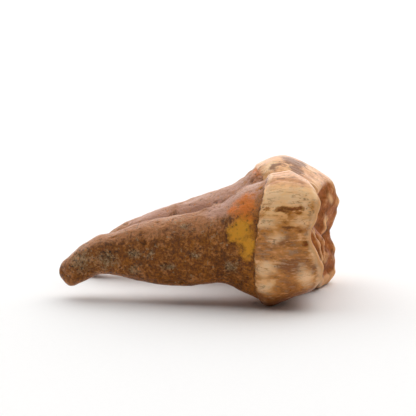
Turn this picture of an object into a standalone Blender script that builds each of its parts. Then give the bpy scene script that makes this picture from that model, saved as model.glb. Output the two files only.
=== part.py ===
"""A fossil cave bear molar with two roots, lying on its side.

The tooth is one solid: a low, broad crown of enamel on two long roots that part just below it.
Its long axis runs along X, roots to -X and chewing face to +X. Y runs through the two lobes of
the crown, the near one at -Y, and Z is up. The crown's flank and the far root's tip rest on Z = 0.

The surface is a ball drawn out. Its two poles are the tips of the roots, and its parallels are
rings: round the near root, then fanned about the fork of the roots across the crown, then round
the far root. Along each ray of a ring the surface is where the body's field is zero.
"""

import bmesh
import bpy
import numpy as np

MM = 0.001  # every length below is in millimetres, and this makes it metres

# Driving dimensions, measured along X from the cervix, where enamel meets root.
ROOT_LENGTH = 30.9
CROWN_HEIGHT = 9.0  # to the chewing face, before its cusps and basins
TIP_CAP = 2.8  # length of the rounded end of a root
ENAMEL = 0.32  # how far the enamel stands out from the root
ENAMEL_LIP = 0.55  # length over which it does so

# Where the cervix and the middle of the crown lie in the part's frame.
CERVIX_X = 9.94
MIDDLE_Y = 0.05
MIDDLE_Z = 10.0
BEDDING = 0.12  # how much of the resting spots is worn flat

# Each root and the lobe of the crown above it make one column. A row is one station along X,
# with how far out from the middle of the tooth its centre lies, how far up, and its half widths
# along Y and along Z.
STATION, OUT, UP, HALF_Y, HALF_Z = range(5)
NEAR = np.array([
    (-30.9, 8.9, 4.30, 1.6, 2.20),
    (-29.7, 8.9, 4.30, 1.9, 2.40),
    (-27.5, 8.8, 5.40, 2.4, 2.80),
    (-23.9, 8.7, 7.35, 2.9, 3.05),
    (-18.2, 8.4, 7.75, 3.6, 4.45),
    (-11.5, 8.0, 8.20, 4.2, 5.40),
    (-5.7, 7.6, 9.30, 5.1, 6.20),
    (-1.8, 7.3, 10.10, 6.3, 8.10),
    (0.8, 7.1, 10.00, 6.9, 9.20),
    (2.2, 7.0, 10.10, 7.2, 9.75),
    (5.0, 7.0, 10.70, 7.3, 9.50),
    (7.0, 7.0, 11.10, 7.1, 9.10),
    (9.7, 6.9, 11.10, 6.4, 7.80),
    (12.0, 6.8, 10.90, 5.4, 6.80),
])
FAR = np.array([
    (-30.9, 8.3, 1.80, 1.7, 2.10),
    (-29.7, 8.3, 1.90, 1.9, 2.30),
    (-27.5, 8.4, 3.50, 2.3, 2.60),
    (-23.9, 8.4, 5.60, 2.8, 3.30),
    (-18.2, 8.3, 6.90, 3.5, 4.70),
    (-11.5, 8.0, 8.30, 4.1, 5.70),
    (-5.7, 7.6, 9.70, 5.0, 6.60),
    (-1.8, 7.3, 10.60, 6.2, 8.60),
    (0.8, 7.1, 10.50, 6.9, 9.70),
    (2.2, 7.0, 10.30, 7.2, 10.00),
    (5.0, 7.0, 9.90, 7.2, 9.60),
    (7.0, 6.9, 9.30, 6.9, 9.10),
    (9.7, 6.8, 8.20, 6.0, 7.70),
    (12.0, 6.7, 7.40, 5.1, 6.20),
])
COLUMNS = ((-1.0, NEAR), (1.0, FAR))
SQUARENESS = 2.5  # exponent of the columns' cross-sections: 2 is an ellipse
JOIN_ROOT = 2.0  # how softly the columns run together between the roots
JOIN_CROWN = 5.0  # and in the crown
JOIN_BLEND = (-4.0, 3.0)  # where the first passes into the second
RIM = 1.3  # roundness of the edge between the walls and the chewing face

# Cusps and folds of the chewing face. Each runs between two points, given across (Y), up (Z) and
# as a height over the crown's, and falls away from its crest by the last number, a slope.
FOLDS = np.array([
    (-9.6, 18.3, -0.1, -12.0, 15.9, 1.5, 0.60),
    (-12.0, 15.9, 1.5, -12.9, 12.8, 0.0, 0.60),
    (-12.9, 9.6, 0.3, -12.3, 6.4, 1.7, 0.60),
    (-12.3, 6.4, 1.7, -10.2, 3.2, 1.3, 0.60),
    (-11.0, 15.6, 1.0, -3.6, 16.4, -1.0, 0.70),
    (-9.4, 10.0, 0.0, -9.0, 5.6, 1.2, 0.90),
    (-9.4, 3.6, 1.2, -3.0, 3.0, -0.4, 0.60),
    (-4.4, 10.8, -0.4, -1.0, 7.2, 0.6, 0.90),
    (3.2, 10.6, 0.2, 3.4, 10.5, 0.2, 1.00),
    (7.6, 14.8, 1.2, 9.4, 12.6, 2.1, 0.50),
    (1.2, 14.4, -1.0, 8.0, 13.6, 1.6, 0.60),
    (8.6, 7.0, 1.0, 8.4, 2.4, 1.5, 0.50),
    (1.6, 4.4, -0.8, 7.6, 4.4, 1.2, 0.60),
    (11.8, 11.0, 0.6, 12.2, 5.0, 0.5, 0.50),
    (-1.0, 17.2, -0.3, 6.0, 17.4, 0.1, 0.60),
    (-3.0, 2.0, -0.2, 6.0, 1.6, 0.7, 0.60),
])
BASIN = -2.3  # depth of the valleys between them
FOLD_JOIN = 0.5  # roundness of the creases
CREST = 0.6  # roundness of the folds' crests
LIFT = (2.0, 8.6)  # the walls rise and fall with the cusps, more and more between these heights

# Lumps: height, size across and the seed that they are drawn from.
ROOT_SWELLS = (0.30, 7.0, 3)
ROOT_LUMPS = (0.14, 2.6, 4)
FACE_LUMPS = (0.22, 1.9, 5)
LUMPS_FADE = (-3.0, 0.0)  # the root's lumps die out between these heights

# Rings of the surface.
FORK = -6.4  # height of the line, in the gap between the roots, that the crown's rings fan about
CROWDING = 0.3  # how much the rays of a ring crowd towards the chewing face
TIP_CROWDING = 0.12  # how closely the rings follow each other at a root's tip: smaller is closer
STRIDE = 0.5  # step in which a ray is followed out of the body
LONGEST_RAY = 26.0
HALVINGS = 12  # how often that step is halved to find the surface
ROOT_RINGS = 20
FAN_RINGS = 54
AROUND = 52  # points in each ring

FOSSIL_BROWN = (0.42, 0.24, 0.13, 1.0)
ROUGHNESS = 0.45


def smooth_step(x, low, high):
    """Rises smoothly from 0 at low to 1 at high."""
    t = np.clip((x - low) / (high - low), 0.0, 1.0)
    return t * t * (3.0 - 2.0 * t)


def smooth_max(a, b, softness):
    """The larger of a and b, with the corner where they cross rounded over softness."""
    h = np.maximum(softness - np.abs(a - b), 0.0) / softness
    return np.maximum(a, b) + h * h * softness / 4.0


def smooth_min(a, b, softness):
    """The smaller of a and b, with the corner rounded in the same way."""
    return -smooth_max(-a, -b, softness)


def track(x, column, which):
    """A smooth curve through one measure of a column's stations that doesn't swing past them."""
    station, values = column[:, STATION], column[:, which]
    step = np.diff(station)
    secant = np.diff(values) / step
    same_way = secant[1:] * secant[:-1] > 0
    mean = 2.0 * secant[1:] * secant[:-1] / np.where(same_way, secant[1:] + secant[:-1], 1.0)
    slope = np.concatenate([secant[:1], np.where(same_way, mean, 0.0), secant[-1:]])
    x = np.clip(x, station[0], station[-1])
    i = np.clip(np.searchsorted(station, x) - 1, 0, len(step) - 1)
    t = (x - station[i]) / step[i]
    return (
        values[i] * (1 + 2 * t) * (1 - t) ** 2
        + values[i + 1] * t * t * (3 - 2 * t)
        + slope[i] * step[i] * t * (1 - t) ** 2
        + slope[i + 1] * step[i] * t * t * (t - 1)
    )


def lumps(x, y, z, kind):
    """Smooth lumps of one kind: heights on a lattice, eased from one corner to the next."""
    height, size, seed = kind
    side = 16
    lattice = np.random.default_rng(seed).uniform(-height, height, (side, side, side))
    at = [c / size for c in (x, y, z)]
    low = [np.floor(c).astype(int) for c in at]
    part = [smooth_step(c - f, 0.0, 1.0) for c, f in zip(at, low)]
    total = 0.0
    for corner in range(8):
        bits = [(corner >> k) & 1 for k in range(3)]
        share = 1.0
        for k in range(3):
            share = share * (part[k] if bits[k] else 1.0 - part[k])
        total = total + share * lattice[tuple((low[k] + bits[k]) % side for k in range(3))]
    return total


def column_field(side, column, x, y, z):
    """How far a point lies outside a column, in millimetres, and below zero inside it."""
    into_cap = np.clip((TIP_CAP - ROOT_LENGTH - x) / TIP_CAP, 0.0, 0.9999)
    cap = np.sqrt(1.0 - into_cap**2)
    half_y = track(x, column, HALF_Y) * cap
    half_z = track(x, column, HALF_Z) * cap
    across = np.abs(y - side * track(x, column, OUT)) / half_y
    upward = np.abs(z - track(x, column, UP)) / half_z
    ratio = (across**SQUARENESS + upward**SQUARENESS) ** (1.0 / SQUARENESS)
    return (ratio - 1.0) * np.minimum(half_y, half_z)


def cervix(y, z):
    """Where along X the enamel ends: it waves round the tooth, and reaches far back on one lobe."""
    around = np.arctan2(z - MIDDLE_Z, y)
    wave = 0.35 * np.cos(2.0 * around + 2.2) + 0.15 * np.sin(5.0 * around)
    tongue = 2.4 * np.exp(-(((around - 0.85) / 0.38) ** 2))
    off_axis = smooth_step(np.hypot(y, z - MIDDLE_Z), 2.0, 7.0)
    return 0.25 + off_axis * (wave - tongue)


def body_field(x, y, z):
    """Zero on the tooth's surface before its cusps: both columns run together, cut off at the top."""
    softness = JOIN_ROOT + (JOIN_CROWN - JOIN_ROOT) * smooth_step(x, *JOIN_BLEND)
    near, far = (column_field(side, column, x, y, z) for side, column in COLUMNS)
    sides = smooth_min(near, far, softness)
    edge = cervix(y, z)
    sides = sides - ENAMEL * smooth_step(x, edge - 0.2 * ENAMEL_LIP, edge + 0.8 * ENAMEL_LIP)
    on_root = 1.0 - smooth_step(x, *LUMPS_FADE)
    sides = sides - on_root * (lumps(x, y, z, ROOT_SWELLS) + lumps(x, y, z, ROOT_LUMPS))
    return smooth_max(sides, x - CROWN_HEIGHT, RIM)


def relief(y, z):
    """Height of the chewing face over the crown's: rounded ridges, with creases where they meet."""
    height = np.full(np.shape(y), BASIN)
    for y0, z0, height0, y1, z1, height1, slope in FOLDS:
        long_y, long_z = y1 - y0, z1 - z0
        along = ((y - y0) * long_y + (z - z0) * long_z) / (long_y**2 + long_z**2)
        along = smooth_step(along, 0.0, 1.0)
        away = np.hypot(y - y0 - along * long_y, z - z0 - along * long_z)
        away = np.hypot(away, CREST) - CREST
        height = smooth_max(height, height0 + along * (height1 - height0) - slope * away, FOLD_JOIN)
    return height + lumps(0.0 * y, y, z, FACE_LUMPS)


def ring_planes():
    """The middle of every ring, the way its first ray points, and how much its rays crowd there."""
    t = np.arange(1, ROOT_RINGS + 1) / (ROOT_RINGS + 1.0)
    along = (ROOT_LENGTH + FORK) * t * t * (1.0 + TIP_CROWDING) / (t + TIP_CROWDING) - ROOT_LENGTH
    zero, one = np.zeros(ROOT_RINGS), np.ones(ROOT_RINGS)
    near, far = (
        np.stack([along, side * track(along, column, OUT), track(along, column, UP)], 1)
        for side, column in COLUMNS
    )
    turn = np.linspace(0.0, np.pi, FAN_RINGS)
    reach = track(FORK, NEAR, OUT)
    ahead = FORK + reach * np.sin(turn)
    to_far = (1.0 - np.cos(turn)) / 2.0
    up = (1.0 - to_far) * track(ahead, NEAR, UP) + to_far * track(ahead, FAR, UP)
    fan = np.stack([ahead, -reach * np.cos(turn), up], 1)
    fan_facing = np.stack([np.sin(turn), -np.cos(turn), 0.0 * turn], 1)
    middle = np.concatenate([near, fan, far[::-1]])
    facing = np.concatenate([np.stack([zero, -one, zero], 1), fan_facing, np.stack([zero, one, zero], 1)])
    crowding = np.concatenate([zero, CROWDING * np.sin(turn), zero])
    return middle, facing, crowding


def leave_body(middle, ray):
    """How far along each ray the body ends: strides outwards, and then ever smaller halves."""
    reach = np.zeros(ray.shape[:2])
    inside = np.ones(ray.shape[:2], bool)
    for away in np.arange(STRIDE, LONGEST_RAY, STRIDE):
        point = middle + away * ray
        inside &= body_field(point[..., 0], point[..., 1], point[..., 2]) < 0
        reach = np.where(inside, away, reach)
    low, high = reach, reach + STRIDE
    for _ in range(HALVINGS):
        half = (low + high) / 2.0
        point = middle + half[..., None] * ray
        out = body_field(point[..., 0], point[..., 1], point[..., 2]) > 0
        low, high = np.where(out, low, half), np.where(out, half, high)
    return (low + high) / 2.0


def tooth_points():
    """Points of the surface, in rings from the near root's tip to the far one's, and both tips."""
    middle, facing, crowding = ring_planes()
    turn = np.arange(AROUND) * 2.0 * np.pi / AROUND
    turn = turn[None, :] - crowding[:, None] * np.sin(turn)[None, :]
    upwards = np.array([0.0, 0.0, 1.0])
    ray = np.cos(turn)[..., None] * facing[:, None, :] + np.sin(turn)[..., None] * upwards
    points = middle[:, None, :] + leave_body(middle[:, None, :], ray)[..., None] * ray
    tips = np.array([(-ROOT_LENGTH, side * column[0, OUT], column[0, UP]) for side, column in COLUMNS])
    return placed(points), placed(tips)


def placed(points):
    """Points raised by the cusps, set down on the resting spots, and moved into the part's frame."""
    x, y, z = points[..., 0], points[..., 1], points[..., 2]
    x = x + smooth_step(x, *LIFT) * relief(y, z)
    z = np.maximum(z - BEDDING, 0.0)
    return np.stack([x + CERVIX_X, y + MIDDLE_Y, z], -1) * MM


def tooth_mesh():
    """A ball whose parallels are laid on the rings and whose poles are the tips of the roots."""
    rings, tips = tooth_points()
    last = len(rings) + 1
    shape = bmesh.new()
    bmesh.ops.create_uvsphere(shape, u_segments=AROUND, v_segments=last, radius=1.0)
    for vertex in shape.verts:
        parallel = round(np.arccos(np.clip(vertex.co.z, -1.0, 1.0)) / np.pi * last)
        if parallel in (0, last):
            vertex.co = tips[0 if parallel == 0 else 1]
        else:
            meridian = round(-np.arctan2(vertex.co.y, vertex.co.x) / (2.0 * np.pi) * AROUND)
            vertex.co = rings[parallel - 1, meridian % AROUND]
    bmesh.ops.triangulate(shape, faces=shape.faces, quad_method="SHORT_EDGE")
    bmesh.ops.recalc_face_normals(shape, faces=shape.faces)
    mesh = bpy.data.meshes.new("tooth")
    shape.to_mesh(mesh)
    shape.free()
    mesh.shade_smooth()
    return mesh


def fossil_material():
    """Brown mineralised tooth, slightly glossy."""
    material = bpy.data.materials.new("fossil")
    material.use_nodes = True
    shader = material.node_tree.nodes["Principled BSDF"]
    shader.inputs["Base Color"].default_value = FOSSIL_BROWN
    shader.inputs["Roughness"].default_value = ROUGHNESS
    return material


def build():
    """Clears the scene and makes the tooth."""
    for item in list(bpy.data.objects):
        bpy.data.objects.remove(item)
    mesh = tooth_mesh()
    mesh.materials.append(fossil_material())
    tooth = bpy.data.objects.new("tooth", mesh)
    bpy.context.scene.collection.objects.link(tooth)


build()
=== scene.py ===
"""Looks of a fossil cave bear tooth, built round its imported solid.

The tooth is one closed surface, worked out finely from the measures of its solid: rings round the
near root, fanned about the fork of the roots across the crown, then round the far root. Its relief,
stains and patina follow. The tooth lies along X, roots to -X and chewing face to +X, on Z = 0.
"""

import math

import bmesh
import bpy
import numpy as np
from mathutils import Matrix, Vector


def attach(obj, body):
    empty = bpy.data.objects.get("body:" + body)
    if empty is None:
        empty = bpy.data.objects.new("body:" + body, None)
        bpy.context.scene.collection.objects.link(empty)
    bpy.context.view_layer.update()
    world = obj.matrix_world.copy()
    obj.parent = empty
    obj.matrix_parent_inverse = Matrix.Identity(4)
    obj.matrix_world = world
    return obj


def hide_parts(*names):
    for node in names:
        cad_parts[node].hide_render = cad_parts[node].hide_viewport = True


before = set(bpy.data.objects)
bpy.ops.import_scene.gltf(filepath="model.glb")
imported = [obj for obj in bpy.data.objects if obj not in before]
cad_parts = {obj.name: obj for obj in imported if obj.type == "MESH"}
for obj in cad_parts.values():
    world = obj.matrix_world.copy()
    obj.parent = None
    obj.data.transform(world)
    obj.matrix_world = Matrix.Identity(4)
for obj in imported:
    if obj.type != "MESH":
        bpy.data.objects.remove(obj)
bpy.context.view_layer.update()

bl_info = {
    "name": "Fossil tooth",
    "version": (1, 0, 0),
    "blender": (4, 5, 0),
    "location": "View3D > Sidebar > Fossil",
    "description": "Makes a fossil cave bear tooth and the studio round it",
    "category": "Add Mesh",
}

MM = 0.001  # lengths of the tooth are in millimetres, and this makes them metres

# The tooth's measures, along X from the cervix, where enamel meets root.
ROOT_LENGTH = 30.9
CROWN_HEIGHT = 9.0
TIP_CAP = 2.8  # length of the rounded end of a root
CAP_END = 0.9999  # share of that length to which it is followed, so that it keeps a width
ENAMEL_LIP = 0.45  # length over which the enamel comes to stand out
LIP_BEHIND = 0.2  # share of that length that lies behind the cervix
CERVIX_X = 9.94  # where the cervix and the crown's middle lie in the part's frame
MIDDLE_Y = 0.05
MIDDLE_Z = 10.0
BEDDING = 0.12  # how much of the resting spots is worn flat

# Each root and the lobe above it make one column. A row is one station along X, with how far out
# from the tooth's middle its centre lies, how far up, and its half widths along Y and Z.
STATION, OUT, UP, HALF_Y, HALF_Z = range(5)
NEAR = np.array([
    (-30.9, 8.9, 4.30, 1.6, 2.20),
    (-29.7, 8.9, 4.30, 1.9, 2.40),
    (-27.5, 8.8, 5.40, 2.4, 2.80),
    (-23.9, 8.7, 7.35, 2.9, 3.05),
    (-18.2, 8.4, 7.75, 3.6, 4.45),
    (-11.5, 8.0, 8.20, 4.2, 5.40),
    (-5.7, 7.6, 9.30, 5.1, 6.20),
    (-1.8, 7.3, 10.10, 6.3, 8.10),
    (0.8, 7.1, 10.00, 6.9, 9.20),
    (2.2, 7.0, 10.10, 7.2, 9.75),
    (5.0, 7.0, 10.70, 7.3, 9.50),
    (7.0, 7.0, 11.10, 7.1, 9.10),
    (9.7, 6.9, 11.10, 6.4, 7.80),
    (12.0, 6.8, 10.90, 5.4, 6.80),
])
FAR = np.array([
    (-30.9, 8.3, 1.80, 1.7, 2.10),
    (-29.7, 8.3, 1.90, 1.9, 2.30),
    (-27.5, 8.4, 3.50, 2.3, 2.60),
    (-23.9, 8.4, 5.60, 2.8, 3.30),
    (-18.2, 8.3, 6.90, 3.5, 4.70),
    (-11.5, 8.0, 8.30, 4.1, 5.70),
    (-5.7, 7.6, 9.70, 5.0, 6.60),
    (-1.8, 7.3, 10.60, 6.2, 8.60),
    (0.8, 7.1, 10.50, 6.9, 9.70),
    (2.2, 7.0, 10.30, 7.2, 10.00),
    (5.0, 7.0, 9.90, 7.2, 9.60),
    (7.0, 6.9, 9.30, 6.9, 9.10),
    (9.7, 6.8, 8.20, 6.0, 7.70),
    (12.0, 6.7, 7.40, 5.1, 6.20),
])
COLUMNS = ((-1.0, NEAR), (1.0, FAR))
SQUARENESS = 2.5  # exponent of the columns' cross-sections: 2 is an ellipse
JOIN_ROOT = 2.0  # how softly the columns run together between the roots
JOIN_CROWN = 5.0  # and in the crown
JOIN_BLEND = (-4.0, 3.0)  # where the first passes into the second

# The cervix waves and ripples round the tooth, and a tongue of it reaches back on the far lobe's
# upper side. It lies further ahead on the near lobe, and most at the top of it.
CERVIX_START = 0.25
WAVE, WAVE_TURN = 0.35, 2.2
RIPPLE = 0.15
TONGUE, TONGUE_AT, TONGUE_WIDTH = 2.4, 0.85, 0.38
NEAR_AHEAD, TOP_AHEAD = 0.65, 0.50
NEAR_LOBE = (2.0, 8.0)  # distances towards the near side over which the first of these comes in
NEAR_TOP = (15.0, 19.0)  # and heights over which the second does
OFF_AXIS = (2.0, 7.0)  # radii over which the waves come in, so that the middle stays whole

# Cusps and folds of the chewing face. Each runs between two points, given across (Y), up (Z) and
# as a height over the crown's, and falls away from its crest by the last number, a slope.
FOLDS = np.array([
    (-8.0, 19.0, -1.2, -10.4, 18.2, 0.5, 0.60),
    (-10.4, 18.2, 0.5, -11.7, 16.8, 1.3, 0.60),
    (-11.7, 16.8, 1.3, -12.8, 14.9, 0.8, 0.60),
    (-12.8, 14.9, 0.8, -13.2, 13.1, -0.1, 0.60),
    (-13.2, 12.4, -0.1, -13.1, 9.4, 0.5, 0.60),
    (-13.0, 8.8, 0.9, -12.7, 7.2, 1.8, 0.60),
    (-12.7, 7.2, 1.8, -11.9, 5.4, 1.5, 0.60),
    (-11.9, 5.4, 1.5, -10.4, 3.6, -0.8, 0.60),
    (-11.2, 16.4, 1.1, -3.6, 16.6, -1.0, 0.70),
    (-8.8, 11.2, 0.1, -8.6, 9.6, 1.0, 0.90),
    (-8.6, 9.6, 1.0, -8.4, 7.4, 1.3, 0.90),
    (-9.4, 4.6, 0.9, -3.0, 3.6, -0.4, 0.60),
    (-3.0, 10.6, -0.6, -1.2, 8.6, 0.8, 0.90),
    (-1.2, 8.6, 0.8, -1.0, 6.8, 0.9, 0.90),
    (5.1, 11.9, 0.1, 5.9, 9.8, 0.1, 0.80),
    (6.4, 16.6, -0.5, 8.0, 15.2, 1.3, 0.75),
    (8.0, 15.2, 1.45, 9.1, 13.5, 1.8, 0.50),
    (9.1, 13.5, 1.8, 9.3, 11.6, 1.5, 0.60),
    (9.3, 11.6, 1.5, 9.0, 9.6, 0.6, 0.70),
    (1.2, 15.0, -1.0, 8.0, 14.2, 1.4, 0.60),
    (8.9, 7.8, 0.5, 8.8, 5.6, 1.25, 0.60),
    (8.8, 5.6, 1.25, 8.2, 2.2, 1.35, 0.60),
    (1.6, 4.4, -0.8, 7.6, 4.4, 1.2, 0.60),
    (11.8, 11.6, 0.7, 12.0, 9.8, -0.8, 0.60),
    (12.0, 8.0, -0.5, 12.2, 4.6, 0.5, 0.60),
    (-1.0, 17.2, -0.3, 6.0, 17.4, 0.1, 0.60),
    (-3.0, 2.0, -0.4, 6.0, 1.6, 0.5, 0.60),
])
BASIN = -2.3  # height of the valleys between them, over the crown's
CREST = 0.55  # roundness of the folds' crests
LIFT = (2.0, 8.6)  # the walls rise and fall with the cusps, more and more between these heights
FACE_EDGE = (0.25, 0.06)  # how far below the crown's top the chewing face begins and is whole

# Lumps: height, size across and the seed that they are drawn from.
LATTICE = 16  # corners along each side of the lattice of heights, which then repeats
ROOT_SWELLS = (0.30, 7.0, 3)
ROOT_LUMPS = (0.14, 2.6, 4)
FACE_LUMPS = (0.22, 1.9, 5)
LUMPS_FADE = (-3.0, 0.0)  # the root's lumps die out between these heights

# Fine relief: height, sizes along X, Y and Z, and seed.
ROOT_STRIAE = (0.05, (5.0, 0.75, 0.75), 11)
ROOT_BUMPS = (0.06, (1.3, 1.2, 1.2), 12)
ROOT_GRAIN = (0.035, (0.62, 0.6, 0.6), 13)
ROOT_PITS = (1.0, (0.8, 0.75, 0.75), 14)
PITTED = (0.45, 0.85)  # values of the pits' lumps between which a pit deepens
PIT_DEPTH = 0.14
ROOT_EDGE = (-0.3, 0.1)  # the root's relief dies out between these places about the cervix
ENAMEL_RIBS = (0.07, (8.0, 1.3, 1.3), 15)
ENAMEL_STRIAE = (0.03, (5.0, 0.5, 0.5), 16)
FACE_WRINKLES = (0.05, (0.95, 0.95, 0.95), 17)
FACE_GRAIN = (0.03, (0.5, 0.5, 0.5), 18)
RAGGED_EDGE = (0.16, (4.0, 0.8, 0.8), 19)
WARPS = ((0.7, (1.6, 1.1, 1.1), 21), (0.6, (1.6, 1.1, 1.1), 22), (0.6, (1.6, 1.1, 1.1), 23))

# Rings of the surface.
FORK = -6.4  # height of the line, between the roots, that the crown's rings fan about
CROWDING = 0.3  # how much the rays of a ring crowd towards the chewing face
TIP_CROWDING = 0.12  # how closely the rings follow each other at a root's tip
STRIDE = 0.5  # step in which a ray is followed out of the body
LONGEST_RAY = 26.0
HALVINGS = 12  # how often that step is halved to find the surface
ROOT_RINGS = 75
FAN_RINGS = 230
AROUND = 260  # points in each ring
HOLLOW_STEPS = 4  # how many points away the neighbours are that tell hollows from crests
CREASE_STEPS = 1  # and those that tell fine creases

# Creases and raised lines of the surface: a width, a lift and a path of corners from the cervix.
LINES = (
    (0.30, -0.20, (
        (1.0, -11.6, 18.6), (2.1, -10.6, 19.6), (3.3, -10.0, 20.0), (5.5, -10.7, 20.0), (7.4, -10.9, 19.4),
    )),
    (0.30, -0.16, ((0.6, -7.6, 19.6), (2.4, -7.4, 20.2), (4.6, -7.2, 20.6), (6.6, -7.8, 20.0))),
    (0.40, -0.30, (
        (-8.0, -6.4, 14.4), (-6.4, -6.2, 15.2), (-5.0, -6.0, 16.2), (-3.4, -5.8, 17.4), (-1.6, -5.4, 18.6),
    )),
    (0.50, 0.50, (
        (-7.0, -4.9, 14.6), (-5.4, -4.8, 15.6), (-3.8, -4.7, 16.8), (-2.2, -4.4, 18.2), (-0.8, -4.0, 19.2),
    )),
    (0.40, 0.20, (
        (-1.6, -9.0, 17.9), (-2.7, -8.9, 17.2), (-4.0, -8.9, 16.4), (-5.6, -8.8, 15.5), (-8.0, -8.8, 14.7),
    )),
    (0.40, 0.12, ((-8.0, -8.8, 14.7), (-10.2, -8.8, 14.0), (-12.4, -8.9, 13.3), (-16.0, -9.2, 12.2))),
    (0.35, -0.28, ((-30.6, -9.8, 4.5), (-29.0, -11.2, 3.9), (-27.4, -11.5, 4.1), (-25.4, -11.2, 4.9))),
    (0.22, -0.08, ((0.4, -14.2, 13.1), (3.0, -14.6, 13.1), (6.0, -14.6, 13.0), (9.0, -13.6, 13.1))),
)

# Coloured patches: the middle of each, from the cervix, then its reach along X and across. Each is
# repeated on the other side of the tooth, turned half round its length.
AMBER = (
    (-1.3, -13.5, 12.9, 2.2, 3.0),
    (-0.8, -13.8, 10.2, 1.6, 3.2),
    (-2.4, -13.4, 12.4, 2.0, 2.4),
)
ORANGE = ((-1.1, -12.2, 16.2, 2.5, 3.4), (-2.6, -12.2, 15.4, 1.9, 2.0), (-1.6, 5.0, 18.8, 1.6, 2.4))
PURPLE = (
    (-0.5, -8.3, 18.8, 1.8, 2.6),
    (-0.2, -10.8, 18.0, 1.4, 2.4),
    (-2.6, -9.6, 17.2, 3.0, 2.4),
    (-0.9, 3.2, 18.2, 1.2, 2.0),
    (-1.8, -5.4, 18.3, 2.6, 2.6),
    (-4.5, 4.5, 16.4, 5.0, 4.5),
    (-5.0, -9.6, 15.6, 4.6, 3.2),
    (-11.0, 5.5, 13.5, 7.0, 4.5),
    (-19.5, 6.5, 10.8, 6.0, 4.0),
)
PATINA = (
    (-27.0, -10.6, 6.6, 4.0, 3.6),
    (-22.8, -11.2, 7.0, 3.4, 3.2),
    (-18.8, -11.6, 5.4, 2.0, 1.6),
    (-10.6, -11.4, 12.5, 2.2, 1.1),
    (-7.2, -11.8, 12.8, 1.0, 1.0),
    (-8.8, -12.6, 8.3, 1.6, 1.5),
    (-15.9, -12.2, 8.6, 1.0, 1.9),
    (-13.2, -12.1, 6.3, 2.0, 1.2),
    (-18.6, -12.0, 8.2, 2.0, 1.6),
    (-3.0, -13.0, 6.9, 2.2, 2.0),
    (-3.2, -12.6, 12.9, 1.2, 1.2),
)
DARK_STAIN = (
    (4.3, -13.9, 16.2, 1.4, 0.6),
    (6.0, -13.9, 15.8, 1.7, 0.9),
    (7.8, -13.8, 16.1, 1.4, 0.6),
    (6.0, -14.5, 13.3, 2.4, 0.6),
    (8.3, -13.8, 11.0, 0.9, 0.8),
    (2.2, -13.6, 16.3, 0.8, 0.5),
)
WHITE = (
    (2.0, -14.2, 14.2, 2.6, 1.6),
    (2.6, -12.8, 17.6, 4.2, 2.8),
    (6.4, -12.6, 17.6, 3.2, 2.4),
    (2.2, -14.4, 7.2, 2.2, 1.7),
    (3.8, -14.6, 11.6, 2.0, 1.2),
    (0.5, 4.0, 19.6, 2.6, 3.0),
    (7.3, -14.1, 14.4, 1.8, 0.9),
    (10.6, 5.6, 14.6, 2.2, 1.6),
    (9.2, 5.7, 10.9, 1.6, 1.4),
    (6.2, 6.8, 19.2, 2.2, 1.6),
    (2.0, -13.4, 4.0, 1.6, 1.2),
    (8.2, -13.3, 5.8, 1.6, 3.0),
    (8.3, -12.8, 16.8, 1.4, 2.8),
)
FAR_BROWN = ((4.2, 5.6, 20.2, 2.8, 3.2), (4.4, 3.0, 19.4, 2.6, 2.6), (1.8, 4.0, 19.4, 1.6, 1.8))

# Patterns of the materials, whose lengths are in millimetres.
NOISE_SPREAD = 4.5  # spreads the noise node's values, which keep near a half, from about -1 to 1
SOCKET_A, SOCKET_B, SOCKET_RESULT = 6, 7, 2  # a mix node's two colours and the result
DARK_PITS = (0.9, 0.24, 0.30)  # spacing, radius and share of the root's pits, stained and sunk
DOT_EDGE = 0.5  # a dot is whole within this share of its radius
VEIN_EDGE = 0.3  # and a vein within this share of its half width
SHARE_EDGE = 0.02  # half the range over which a cell passes from dotted to bare

# Finish of the root, and what the enamel and the chewing face add to it.
ROUGH_ROOT, ROUGH_ENAMEL, ROUGH_FACE = 0.40, -0.06, 0.15
ROUGH_MOTTLE = 0.10  # how much the roughness varies from spot to spot
SHINE_ROOT, SHINE_ENAMEL, SHINE_FACE = 0.36, 0.03, -0.25
GLOW = 0.10  # share of the light that passes through the surface
GLOW_COLOUR = (1.0, 0.45, 0.2)
GLOW_DEPTH = 0.5 * MM

# The studio, in metres: half the floor's width, and where each soft light hangs and its width.
FLOOR_HALF = 1.5
FLOOR_ROUGHNESS = 0.8
FLOOR_GRAIN = (0.995, 1.005)  # least and most of the grain's shade
KEY_PLACE, KEY_SIZE = (-0.05, 0.62, 0.98), 3.40
FILL_PLACE, FILL_SIZE = (0.10, -0.90, 0.80), 1.00

# The photograph's camera: the way it looks, its distance and the width that it sees there.
CAMERA_AZIMUTH = math.radians(9.0)
CAMERA_ELEVATION = math.radians(10.5)
CAMERA_DISTANCE = 0.400
PIXELS = 416
PIXELS_PER_MM = 6.5
SENSOR = 36.0
AIM = Vector((CERVIX_X - 7.6, -8.0, 14.8)) * MM


def paint(red, green, blue):
    """A colour as it looks on a screen, from 0 to 255, made linear by the sRGB curve."""
    return tuple(((c / 255.0 + 0.055) / 1.055) ** 2.4 if c > 10 else c / 3294.6 for c in (red, green, blue))


def colour_property(name, description, default):
    """A colour that a user may change."""
    return bpy.props.FloatVectorProperty(
        name=name, description=description, default=default, subtype="COLOR", size=3, min=0.0, max=1.0
    )


def length_property(name, description, default, most):
    """A length, in metres, that a user may change."""
    return bpy.props.FloatProperty(
        name=name,
        description=description,
        default=default,
        min=0.0,
        max=most,
        subtype="DISTANCE",
        unit="LENGTH",
    )


def power_property(name, description, default):
    """A light's power, in watts, that a user may change."""
    return bpy.props.FloatProperty(
        name=name, description=description, default=default, min=0.0, max=100.0, unit="POWER"
    )


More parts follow.
